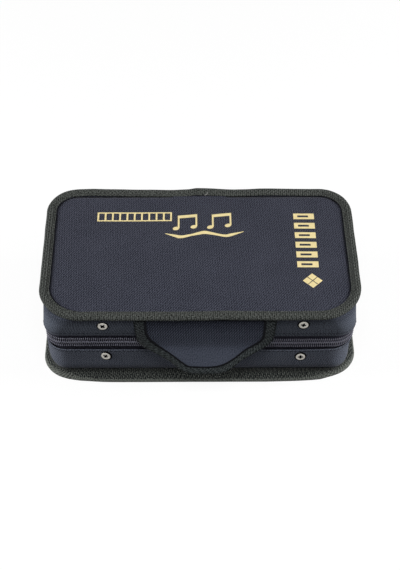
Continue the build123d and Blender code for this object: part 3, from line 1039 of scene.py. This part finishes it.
def sewing(tree, shadow_line_finish, wall_finish, tape_finish):
    """All the visible rows of stitches, apart from the tongue's."""
    stitch = stitch_shape("long_stitch", 3.0, 0.75)
    # These stitches are near-black, as painted shade for the crevice between the lid's cloth and its tape.
    for side, line in zip(("left", "right"), seam_lines(-8.75, 76.95)):
        stitch_row(f"lid_seam_{side}", tree, line, False, "lid", stitch, shadow_line_finish, 2.5)
    bpy.data.objects.remove(stitch)

    stitch = stitch_shape("tape_stitch", 2.3, 0.55)
    groove_out, groove_height = -5.92, 77.62
    points = outline(LID_EDGE, groove_out)
    x, y = points[:, 0], points[:, 1]
    groove = points[(x < -30) & ((y > -40) | (x < -100))]
    height = groove_height + bumpy_back(groove[:, 0]) * ramp(groove[:, 1], 54, 14)
    stitch_row("groove_stitches", tree, at_height(groove, height), False, "lid", stitch, tape_finish, 3.0)
    bpy.data.objects.remove(stitch)

    stitch = stitch_shape("wall_stitch", 2.5, 0.5)
    for body, height, rim_sag in (("lid", LID_RIM_SEAM, lid_rim_sag), ("base", BASE_RIM_SEAM, base_rim_sag)):
        points = outline(wall_plan(height), 0.02)
        line = at_height(points, height + rim_sag(points[:, 0], points[:, 1], height))
        stitch_row(body + "_rim_stitches", tree, line, True, body, stitch, wall_finish, 3.6)
    bpy.data.objects.remove(stitch)


def rear_hinge_cloth(finish):
    """Cloth behind the back walls' rims, across the gap about which the lid turns."""
    heights = np.linspace(31, 59.8, 37)
    columns = np.linspace(-HINGE_STRIP, HINGE_STRIP, 93)
    bulge = 1.7 * np.exp(-((heights - ZIP) / 5.0) ** 2)
    inner_face = WALL[2] - 2.6
    thick = 1.0
    rows = []
    for face, way in ((inner_face, 1), (inner_face - thick, -1)):
        for height, y in zip(heights[::way], (face + bulge)[::way]):
            rows.append([(x, y, height) for x in columns])
    across = np.concatenate([heights, heights[::-1], [heights[0]]]) - heights[0]
    along = columns + HINGE_STRIP
    piece = grid_piece("rear_hinge_cloth", np.array(rows), across, along)
    finished(piece, None, finish, "case_fabric", "rear_hinge_strip")
    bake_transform(piece)


def star(angle, inner, arm):
    """Radius of the four-armed star that the rivet's split middle leaves."""
    return inner + arm * abs(math.sin(2 * angle)) ** 1.2


def round_rivet(angle, radius, y):
    """Point at an angle round the rivet, which stands along Y with its head to the front."""
    return radius * math.cos(angle), y, radius * math.sin(angle)


def turned_shape(name, columns, sharp):
    """Shape whose closed sections, columns of points, stand all round an axis."""
    turns, levels = len(columns), len(columns[0])
    faces = []
    for here in range(turns):
        beside = (here + 1) % turns
        for level in range(levels):
            beyond = (level + 1) % levels
            corners = ((here, level), (beside, level), (beside, beyond), (here, beyond))
            faces.append([column * levels + place for column, place in corners])
    return to_mesh(name, faces, np.array(columns).reshape(-1, 3), sharp=sharp)


def rivet_shape(turn):
    """Tubular rivet: a ring head whose middle is split into a star."""
    rings = [(-7.9, 1.4), (-7.9, 2.0), (-7.6, 2.3), (-7.2, 2.0), (-0.02, 2.0), (0.0, 3.82), (0.15, 3.92)]
    rings += [(0.4, 3.8), (0.6, 3.45), (0.7, 3.05), (0.68, 2.6)]
    split = [(0.5, 1.2, 1.15), (0.1, 1.1, 1.1), (-1.2, 0.9, 0.95)]
    turns = 64
    columns = []
    for step in range(turns):
        angle = TURN * step / turns
        petal = max(0.0, abs(math.sin(2 * (angle - turn))) - 0.93) / 0.07
        column = [(depth - (0.18 * petal if depth > 0.55 else 0), radius) for depth, radius in rings]
        column += [(depth, star(angle - turn, inner, arm)) for depth, inner, arm in split]
        column.append((-3.0, 1.4))
        columns.append([round_rivet(angle, radius, -depth) for depth, radius in column])
    return turned_shape("rivet_one", columns, 50)


def rivet_dark(turn):
    """The unlit inside of the rivet's tube, seen through the star."""
    sides = 48
    angles = [TURN * step / sides for step in range(sides)]
    points = [(0, -0.16, 0)]
    points += [round_rivet(angle, star(angle - turn, 1.25, 1.15), -0.3) for angle in angles]
    points += [round_rivet(angle, 1.3, 1.4) for angle in angles]
    faces = []
    for step in range(sides):
        here, beside = 1 + step, 1 + (step + 1) % sides
        faces.append([0, here, beside])
        faces.append([here, here + sides, beside + sides, beside])
    faces.append(list(range(sides + 1, 2 * sides + 1)))
    return to_mesh("rivet_dark_one", faces, points, sharp=50)


def rivet_seat():
    """Ring of cloth pressed in round the rivet's head, deepest above it. Its near-black colour is painted
    shadow of the head.
    """
    section = [(3.5, 0.3), (3.7, -0.24), (4.2, -0.34), (4.8, -0.2), (5.2, 0.3)]
    turns = 40
    columns = []
    for step in range(turns):
        ring = [round_rivet(TURN * step / turns, radius, y) for radius, y in section]
        columns.append([(x, y, z + 0.12) for x, y, z in ring])
    return turned_shape("rivet_seat_one", columns, 60)


def rivets(tree, finish, dark, rivet_shadow):
    """Two rivets in the lid's front and two in the base's, each turned its own way."""
    proud = 0.12
    for body, side, x, height, turn, tilt in (
        ("base", "left", -77.5, 29.0, 0.35, 0.0014),
        ("lid", "left", -78.3, 67.0, 0.1, 0.0),
        ("base", "right", 82.2, 27.4, 0.8, 0.0),
        ("lid", "right", 82.2, 68.0, 0.55, 0.0),
    ):
        front = -wall_plan(height)[2] - proud
        # The rivet stands on this line's first point, and the line's direction turns it
        line = [(x, front, height), (x + 0.01, front - tilt, height)]
        for part, shape, look, slot in (
            ("", rivet_shape(turn), finish, "rivet_nickel"),
            ("_inside", rivet_dark(turn), dark, "rivet_nickel"),
            ("_seat", rivet_seat(), rivet_shadow, "case_fabric"),
        ):
            piece = repeated(f"{body}_rivet_{side}{part}", tree, line, False, shape, 1, look)
            finished(piece, body, look, slot, *([body + "_rivets"] if side == "left" and not part else []))
            bpy.data.objects.remove(shape)


# The tongue: seen from the front it has an outline, seen from the side it has two bends

def eased(points, radii):
    """Open line with each inner corner rounded to its radius."""
    line = [np.array(points[0], float)]
    for before, here, after, radius in zip(points[:-2], points[1:-1], points[2:], radii):
        before, here, after = (np.array(p, float) for p in (before, here, after))
        back = (before - here) / np.linalg.norm(before - here)
        ahead = (after - here) / np.linalg.norm(after - here)
        half = math.acos(np.clip(back @ ahead, -1, 1)) / 2
        reach = radius / math.tan(half)
        centre = here + (back + ahead) / np.linalg.norm(back + ahead) * radius / math.sin(half)
        start, end = here + back * reach - centre, here + ahead * reach - centre
        swing = math.atan2(start[0] * end[1] - start[1] * end[0], start @ end)
        for share in np.linspace(0, 1, 13):
            c, s = math.cos(swing * share), math.sin(swing * share)
            line.append(centre + [c * start[0] - s * start[1], s * start[0] + c * start[1]])
    line.append(np.array(points[-1], float))
    return np.array(line)


def evenly(line, step):
    """Open line divided again into even steps."""
    total = lengths(line, False)
    spots = np.linspace(0, total[-1], max(2, int(round(total[-1] / step)) + 1))
    return np.column_stack([np.interp(spots, total, line[:, k]) for k in range(line.shape[1])])


TONGUE_TOP = 72.8
TONGUE_SIDE = evenly(eased([(0.9, TONGUE_TOP), (2.1, 66.0), (5.3, 46.6), (19.72, 26.0)], [14, 14]), 0.4)
TONGUE_FRONT = evenly(eased(
    [(-57.5, TONGUE_TOP), (-54.5, 48.4), (-29, 36.6), (-16.5, 27.6), (16.5, 27.6), (29, 36.6), (54.5, 48.4),
     (57.5, TONGUE_TOP)],
    [16, 30, 26, 26, 30, 16],
), 1.2)


def on_tongue(x, z, lift):
    """Point on the bent sheet of the tongue, lifted off its middle surface, in mm."""
    heights = TONGUE_SIDE[::-1, 1]
    outs = TONGUE_SIDE[::-1, 0]
    out = np.interp(z, heights, outs)
    slope = np.gradient(outs, heights)
    lean = np.arctan(-np.interp(z, heights, slope))
    swell = 0.35 * np.sin(x / 17 + 0.8) * ramp(z, 60, -25)
    forward = out + (lift + swell) * np.cos(lean)
    return np.stack([x + TONGUE_MIDDLE, -WALL[2] - forward, z + lift * np.sin(lean)], -1)


TONGUE_INNER = evenly(softened([
    (-49.2, TONGUE_TOP), (-48.6, 62), (-47, 56), (-43.6, 51), (-35.5, 44.6), (-27, 40.2), (-20.3, 35.8),
    (-14.8, 32.4), (-9, 31.8), (7.5, 31.8), (14.7, 33.2), (21.4, 36.2), (31.8, 42.9), (41.2, 48.0),
    (46.6, 52.8), (48.4, 58), (48.9, TONGUE_TOP),
], 2, False), 1.2)


def tongue_line(share):
    """Line between the tongue's outline, share 0, and the inner edge of its tape, share 1."""
    count = 170
    lines = []
    for line in (TONGUE_FRONT, TONGUE_INNER):
        along = lengths(line, False)
        spots = np.linspace(0, along[-1], count)
        lines.append(np.column_stack([np.interp(spots, along, line[:, k]) for k in (0, 1)]))
    return lines[0] + (lines[1] - lines[0]) * share


# Section of the tongue's tape: how far in from the fold, as a share of its width, and lift off the middle
TONGUE_TAPE_WIDTH = 8.0
TONGUE_TAPE = [
    (1.0, 0.85), (1.02, 1.25), (0.98, 1.55), (0.9, 1.58), (0.7, 1.68), (0.5, 1.75), (0.3, 1.72), (0.1, 1.45),
    (0.01, 0.8), (-0.01, 0), (0.01, -0.8), (0.1, -1.3), (0.3, -1.4), (0.99, -1.38), (0.99, -0.9), (0.3, -0.9),
    (0.12, -0.8), (0.07, 0), (0.12, 0.8), (0.3, 0.9),
]


def tongue_strip(name, section):
    """Piece along the tongue's outline, through points of (share of the tape's width inwards, lift)."""
    section = np.array(section, float)
    lines = [tongue_line(share) for share, _ in section]
    points = np.array([on_tongue(line[:, 0], line[:, 1], lift) for line, (_, lift) in zip(lines, section)])
    across = lengths(section * (TONGUE_TAPE_WIDTH, 1.0))
    return grid_piece(name, points, across, lengths(lines[0], False), sharp=70)


def tongue_cloth(finish):
    """The tongue's cloth from side to side, inside its tape."""
    half_thick = 0.78
    line = tongue_line(0.15)
    half = len(line) // 2
    edge = line[half + 1:]
    edge = edge[edge[:, 0] > 6]
    other = line[:half][::-1]
    left = np.interp(edge[:, 1], other[:, 1], other[:, 0])
    shares = np.linspace(0, 1, 61)
    x = left[:, None] + (edge[:, 0] - left)[:, None] * shares
    z = np.repeat(edge[:, 1][:, None], len(shares), axis=1)
    points = np.concatenate([on_tongue(x, z, half_thick), on_tongue(x, z, -half_thick)[::-1]])
    across = np.concatenate([edge[:, 1], edge[::-1, 1], edge[:1, 1]])
    piece = grid_piece("tongue_cloth", points, across, shares * 110)
    map_from_front(piece)
    finished(piece, "tongue", finish, "case_fabric", "tongue_panel")


def map_from_front(piece):
    """Cloth map straight from the front, for a piece that hangs down the front."""
    layer = piece.data.uv_layers["cloth"]
    for loop in piece.data.loops:
        place = piece.data.vertices[loop.vertex_index].co
        layer.data[loop.index].uv = (place.x, place.z)


def tongue_edge_tape(finish):
    piece = tongue_strip("tongue_edge_tape", softened(TONGUE_TAPE))
    finished(piece, "tongue", finish, "binding_tape", "tongue_binding")


def tongue_seam(tree, finish):
    """Near-black strip along the inner edge of the tongue's tape, painted shadow where the tape's edge meets
    the cloth, with the stitches that hold it.
    """
    shadow_strip = tongue_strip("tongue_cord", [(0.98, 0.7), (1.0, 1.3), (1.12, 1.65), (1.24, 1.3), (1.28, 0.7)])
    finished(shadow_strip, "tongue", finish, "binding_tape")
    stitch = stitch_shape("tongue_stitch", 2.0, 0.5)
    line = tongue_line(1.06)
    line = line[line[:, 1] < 68.5]
    line = on_tongue(line[:, 0], line[:, 1], 1.25)
    stitch_row("tongue_seam", tree, line, False, "tongue", stitch, finish, 2.2)
    bpy.data.objects.remove(stitch)


def sliders_and_pulls(finish):
    for side in ("left", "right"):
        for part, bevel in (("slider", 0.18), ("pull", 0.25)):
            node = side + "_" + part
            piece = from_node(node + "_metal", node, bevel)
            finished(piece, node, finish, "slider_metal", node)


# Foil marks on the lid: a comb of square openings, two pairs of notes over a stroke, and a column of reeds

def foil(name, shapes, finish):
    """Thin foil shapes pressed on the lid. Each shape is a grid of points (rows, columns, 2) in mm."""
    under_side, top_side = 0.02, 0.1
    points, faces = [], []
    for shape in shapes:
        rows, columns = shape.shape[:2]
        start = len(points)
        for lift in (under_side, top_side):
            for x, y in shape.reshape(-1, 2):
                points.append((x, y, float(lid_height(x, y)) + lift))
        size = rows * columns
        for j in range(rows - 1):
            for i in range(columns - 1):
                a = start + j * columns + i
                quad = [a, a + 1, a + columns + 1, a + columns]
                faces.append([size + k for k in quad])
                faces.append(quad[::-1])
        rim = list(range(columns))
        rim += [j * columns + columns - 1 for j in range(1, rows)]
        rim += [(rows - 1) * columns + i for i in range(columns - 2, -1, -1)]
        rim += [j * columns for j in range(rows - 2, 0, -1)]
        for here, beside in zip(rim, rim[1:] + rim[:1]):
            faces.append([start + here, start + beside, start + size + beside, start + size + here])
    piece = to_mesh(name, faces, points, sharp=30)
    finished(piece, "lid", finish, "case_fabric")


def bar(x_low, x_high, y_low, y_high):
    """Grid of points over a rectangle."""
    step = 2.0
    columns = max(2, int((x_high - x_low) / step) + 1)
    rows = max(2, int((y_high - y_low) / step) + 1)
    x, y = np.meshgrid(np.linspace(x_low, x_high, columns), np.linspace(y_low, y_high, rows))
    return np.stack([x, y], 2)


def stroke(points, widths):
    """Grid along a curved stroke whose width changes."""
    line = evenly(eased(points, [9] * (len(points) - 2)), 0.8)
    ahead = np.gradient(line, axis=0)
    normal = np.stack([-ahead[:, 1], ahead[:, 0]], 1)
    normal /= np.linalg.norm(normal, axis=1)[:, None]
    spots = np.linspace(0, 1, len(line))
    wide = np.interp(spots, np.linspace(0, 1, len(widths)), widths)[:, None] / 2
    return np.stack([line - normal * wide, line, line + normal * wide], 0)


def note_head(x, y):
    """Grid over a slanted oval."""
    wide, high, tilt = 5.6, 4.0, 0.35
    spots = np.linspace(-0.98, 0.98, 13)
    rows = np.sqrt(1 - spots ** 2)
    across = np.array([spots, spots, spots]) * wide / 2
    up = np.array([-rows, rows * 0, rows]) * high / 2
    c, s = math.cos(tilt), math.sin(tilt)
    return np.stack([x + across * c - up * s, y + across * s + up * c], 2)


def comb_mark(finish):
    """Row of ten square openings between two rails."""
    left, right, pitch = -87, -23.5, 6.2
    shapes = [bar(left, right, 45.6, 46.9), bar(left, right, 36.0, 37.3)]
    for rung in range(11):
        x = left + rung * pitch
        shapes.append(bar(x, x + 1.5, 37.3, 45.6))
    foil("foil_comb", shapes, finish)


def tune_mark(finish):
    """Two pairs of beamed notes over a tapering stroke."""
    line = [(-29, 21), (-16, 16.5), (4, 22.5), (22, 17.5), (37, 23)]
    shapes = [stroke(line, [0.5, 3.4, 2.2, 3.8, 2.4, 3.2, 0.5])]
    for x, y in ((-20, 27), (9, 28.5)):
        shapes += [note_head(x, y), note_head(x + 15, y + 2)]
        shapes += [bar(x + 1.5, x + 3.0, y + 0.6, y + 15.5), bar(x + 16.5, x + 18.0, y + 2.6, y + 17.5)]
        under_beam = [(x + 1.5, y + 12.2), (x + 18, y + 14.2)]
        over_beam = [(x + 1.5, y + 15.6), (x + 18, y + 17.6)]
        shapes.append(np.array([under_beam, over_beam]))
    foil("foil_tune", shapes, finish)


def reed_mark(finish):
    """Column of six slotted plates and a lozenge."""
    plate = ((80, 97.6, 0, 2.3), (80, 97.6, 4.6, 6.9), (80, 83.4, 2.3, 4.6), (92.6, 97.6, 2.3, 4.6))
    top, pitch = 38.2, 11.4
    half = 3.8
    shapes = []
    for number in range(6):
        low = top - number * pitch
        shapes += [bar(x_low, x_high, low + y_low, low + y_high) for x_low, x_high, y_low, y_high in plate]
    for x, y in ((91.5, -29.6), (87.2, -33.9), (95.8, -33.9), (91.5, -38.2)):
        shapes.append(np.array([[(x, y + half), (x + half, y)], [(x - half, y), (x, y - half)]], float))
    foil("foil_reeds", shapes, finish)


# Room, light and camera

def material_of(kind, name):
    """Empty material or world with nodes switched on."""
    made = kind.new(name)
    made.use_nodes = True
    made.node_tree.nodes.clear()
    return made


def seen_directly(wiring):
    """1 for rays that come from the camera, a mirror or glass, otherwise 0."""
    camera_ray = wiring.node("ShaderNodeLightPath", result="Is Camera Ray")
    glossy, through = camera_ray.other("Is Glossy Ray"), camera_ray.other("Is Transmission Ray")
    return camera_ray.math("MAXIMUM", glossy).math("MAXIMUM", through)


def room():
    """Dim white light from all round, and a white floor that keeps the case's shadow."""
    white = (1, 1, 1, 1)
    room_light = 0.04
    tone_seen, tone_bounced = 1.06, 0.18
    glow_share = 0.9
    world = material_of(bpy.data.worlds, "soft_room")
    wiring = Wiring(world.node_tree)
    seen = wiring.node("ShaderNodeBackground", None, {"Color": white})
    light = wiring.node("ShaderNodeBackground", None, {"Color": white, "Strength": room_light})
    either = wiring.node("ShaderNodeMixShader", None, {0: seen_directly(wiring), 1: light, 2: seen})
    wiring.node("ShaderNodeOutputWorld", None, {0: either})
    bpy.context.scene.world = world

    floor_paint = material_of(bpy.data.materials, "white_floor")
    wiring = Wiring(floor_paint.node_tree)
    direct = seen_directly(wiring)
    tone = direct.math("MULTIPLY_ADD", tone_seen - tone_bounced, tone_bounced)
    matt = wiring.node("ShaderNodeBsdfDiffuse", None, {"Color": tone})
    glow = wiring.node("ShaderNodeEmission", None, {"Color": white})
    either = wiring.node("ShaderNodeMixShader", None, {0: direct * glow_share, 1: matt, 2: glow})
    wiring.node("ShaderNodeOutputMaterial", None, {0: either})
    reach, level = 4000, -0.1
    corners = [(-reach, -reach, level), (reach, -reach, level), (reach, reach, level), (-reach, reach, level)]
    floor = to_mesh("floor", [[0, 1, 2, 3]], corners)
    floor.data.materials.append(floor_paint)


def lamp(name, place, target, size, watts):
    """Rectangular lamp, turned from its place to its target, all in metres."""
    light = bpy.data.lights.new(name, "AREA")
    light.shape = "RECTANGLE"
    light.size, light.size_y = size
    light.energy = watts
    holder = placed(name, light)
    holder.location = place
    holder.rotation_mode = "QUATERNION"
    holder.rotation_quaternion = (Vector(target) - Vector(place)).to_track_quat("-Z", "Y")


def lamps():
    lamp("high_front", (0.0, -0.5, 1.38), (0, 0, 0.05), (0.5, 0.5), 7.2)
    lamp("low_front", (0.0, -1.3, 0.8), (0, 0, 0.04), (1.2, 0.5), 1.6)
    lamp("left_side", (-1.4, -0.06, 0.5), (0, 0, 0.04), (0.6, 0.6), 23.0)
    lamp("right_side", (1.4, -0.01, 0.5), (0, 0, 0.04), (0.6, 0.6), 25.5)


def camera():
    """Camera in front of the case and above it, looking down 46.7 degrees."""
    focal_pixels, frame_pixels = 1304.878, 570
    distance = 1.113958
    target = Vector((0.261, 0, 36.73)) * MM
    high, yaw, roll = (math.radians(d) for d in (46.71, -0.79, 0.418))
    back = Vector((math.sin(yaw) * math.cos(high), -math.cos(yaw) * math.cos(high), math.sin(high)))
    right = (-back).cross(Vector((0, 0, 1))).normalized()
    up = right.cross(-back)
    turned_right = right * math.cos(roll) + up * math.sin(roll)
    turned_up = up * math.cos(roll) - right * math.sin(roll)
    data = bpy.data.cameras.new("camera")
    data.sensor_width = 36
    data.lens = data.sensor_width * focal_pixels / frame_pixels
    data.clip_start = 0.05
    data.clip_end = 50
    holder = placed("camera", data)
    facing = Matrix((turned_right, turned_up, back)).transposed().to_4x4()
    holder.matrix_world = Matrix.Translation(target + back * distance) @ facing
    bpy.context.scene.camera = holder


def build_case():
    lid_fabric = twill_fabric("case_fabric", (24, 26, 34), (77, 79, 91), 0.28, 2.6)
    # The lid's walls take a slightly darker copy of the walls' cloth, as painted shade from the lid's
    # overhanging edge. They are painted darker still just under that edge.
    lid_wall_shaded_fabric = twill_fabric(
        "lid_wall_shaded_fabric", (48, 51, 60), (99, 105, 116), 0.22, 2.6, painted_shade_above=(0.066, 0.073),
    )
    # The walls' cloth is lighter than the lid's. This is partly its own, less blue hue, and partly painted
    # light that makes up for the weaker light on the walls.
    wall_lit_fabric = twill_fabric("wall_lit_fabric", (50, 53, 62), (104, 109, 121), 0.22, 2.6)
    # The tongue's cloth is a lighter copy of the case's cloth, as painted light, with its own bolder twill.
    # It is painted paler low down, where it faces up, and painted darker at the top, as shade under the lid's
    # edge.
    tongue_lit_and_shaded_fabric = twill_fabric(
        "tongue_lit_and_shaded_fabric", (30, 32, 41), (80, 85, 98), 0.42, 1.5, (0.040, 0.056), (0.060, 0.071),
    )
    lid_tape = ribbed_tape("lid_tape", (30, 32, 30), (87, 90, 87), 0.00173)
    # The base tape is painted darker near the wall as shade, and paler towards the foot as painted light.
    base_tape = ribbed_tape("base_tape", (23, 27, 29), (102, 105, 100), 0.00173, 0.3, painted_shade_to_light=(0.0045, 0.0120))
    # The tongue tape is painted dark along its fold as shade.
    tongue_tape = ribbed_tape("tongue_tape", (17, 21, 22), (74, 79, 80), 0.0024, 0.7, 0.0086)
    lining = brushed_lining()
    foam = closed_foam("tray_foam", (26, 27, 30), (60, 61, 66), 1400)
    core = closed_foam("core_foam", (60, 60, 60), (110, 110, 108), 1100)
    board = grey_board()
    # Near-black thread: painted shade for the crevice along the lid's seam, and for the line along the inner
    # edge of the tongue's tape.
    shadow_line_thread = thread("shadow_line_thread", (8, 9, 12), (22, 23, 27))
    tape_thread = thread("tape_thread", (24, 26, 26), (52, 55, 53))
    wall_thread = thread("wall_thread", (24, 26, 33), (42, 45, 54))
    zip_thread = thread("zip_thread", (34, 34, 43), (70, 70, 82))
    nickel = bright_metal("rivet_nickel", (128, 125, 119), (196, 193, 186))
    shade = closed_foam("rivet_inside", (2, 2, 2), (5, 5, 5), 900)
    # Near-black cloth round each rivet: painted shadow of the rivet's head.
    rivet_shadow = closed_foam("rivet_shadow_cloth", (4, 4, 5), (12, 13, 15), 1500)
    dark_metal = bright_metal("slider_metal", (52, 52, 54), (92, 92, 95))
    gold = gold_foil()

    lid_cloth(lid_fabric)
    lid_edge_tape(lid_tape)
    loose_thread_end(thread("loose_thread", (150, 150, 148), (190, 190, 186)))
    lid_side_cloth(lid_wall_shaded_fabric)
    lid_inside_lining(lining)
    lid_pad(foam)
    base_under_cloth(wall_lit_fabric)
    base_side_cloth(wall_lit_fabric)
    base_edge_tape(base_tape)
    tray_lining(lining)
    tray_floor(foam)
    tray_slots(foam)
    zip_tapes(knitted_zip_tape())
    rear_hinge_cloth(wall_lit_fabric)
    tongue_cloth(tongue_lit_and_shaded_fabric)
    tongue_edge_tape(tongue_tape)
    sliders_and_pulls(dark_metal)

    level = repeat_tree("Z")
    teeth(level, coil_nylon(), zip_thread)
    rivets(level, nickel, shade, rivet_shadow)
    sewing(level, shadow_line_thread, wall_thread, tape_thread)
    tongue_seam(repeat_tree("AUTO"), shadow_line_thread)

    comb_mark(gold)
    tune_mark(gold)
    reed_mark(gold)

    for part, finish in (("board", board), ("wall_foam", core), ("rivet_washers", nickel)):
        for body in ("lid", "base"):
            dressed = NODES[f"{body}_{part}"].data.materials
            dressed.clear()
            dressed.append(finish)


bpy.context.scene.view_settings.view_transform = "Standard"
camera()
room()
lamps()
build_case()
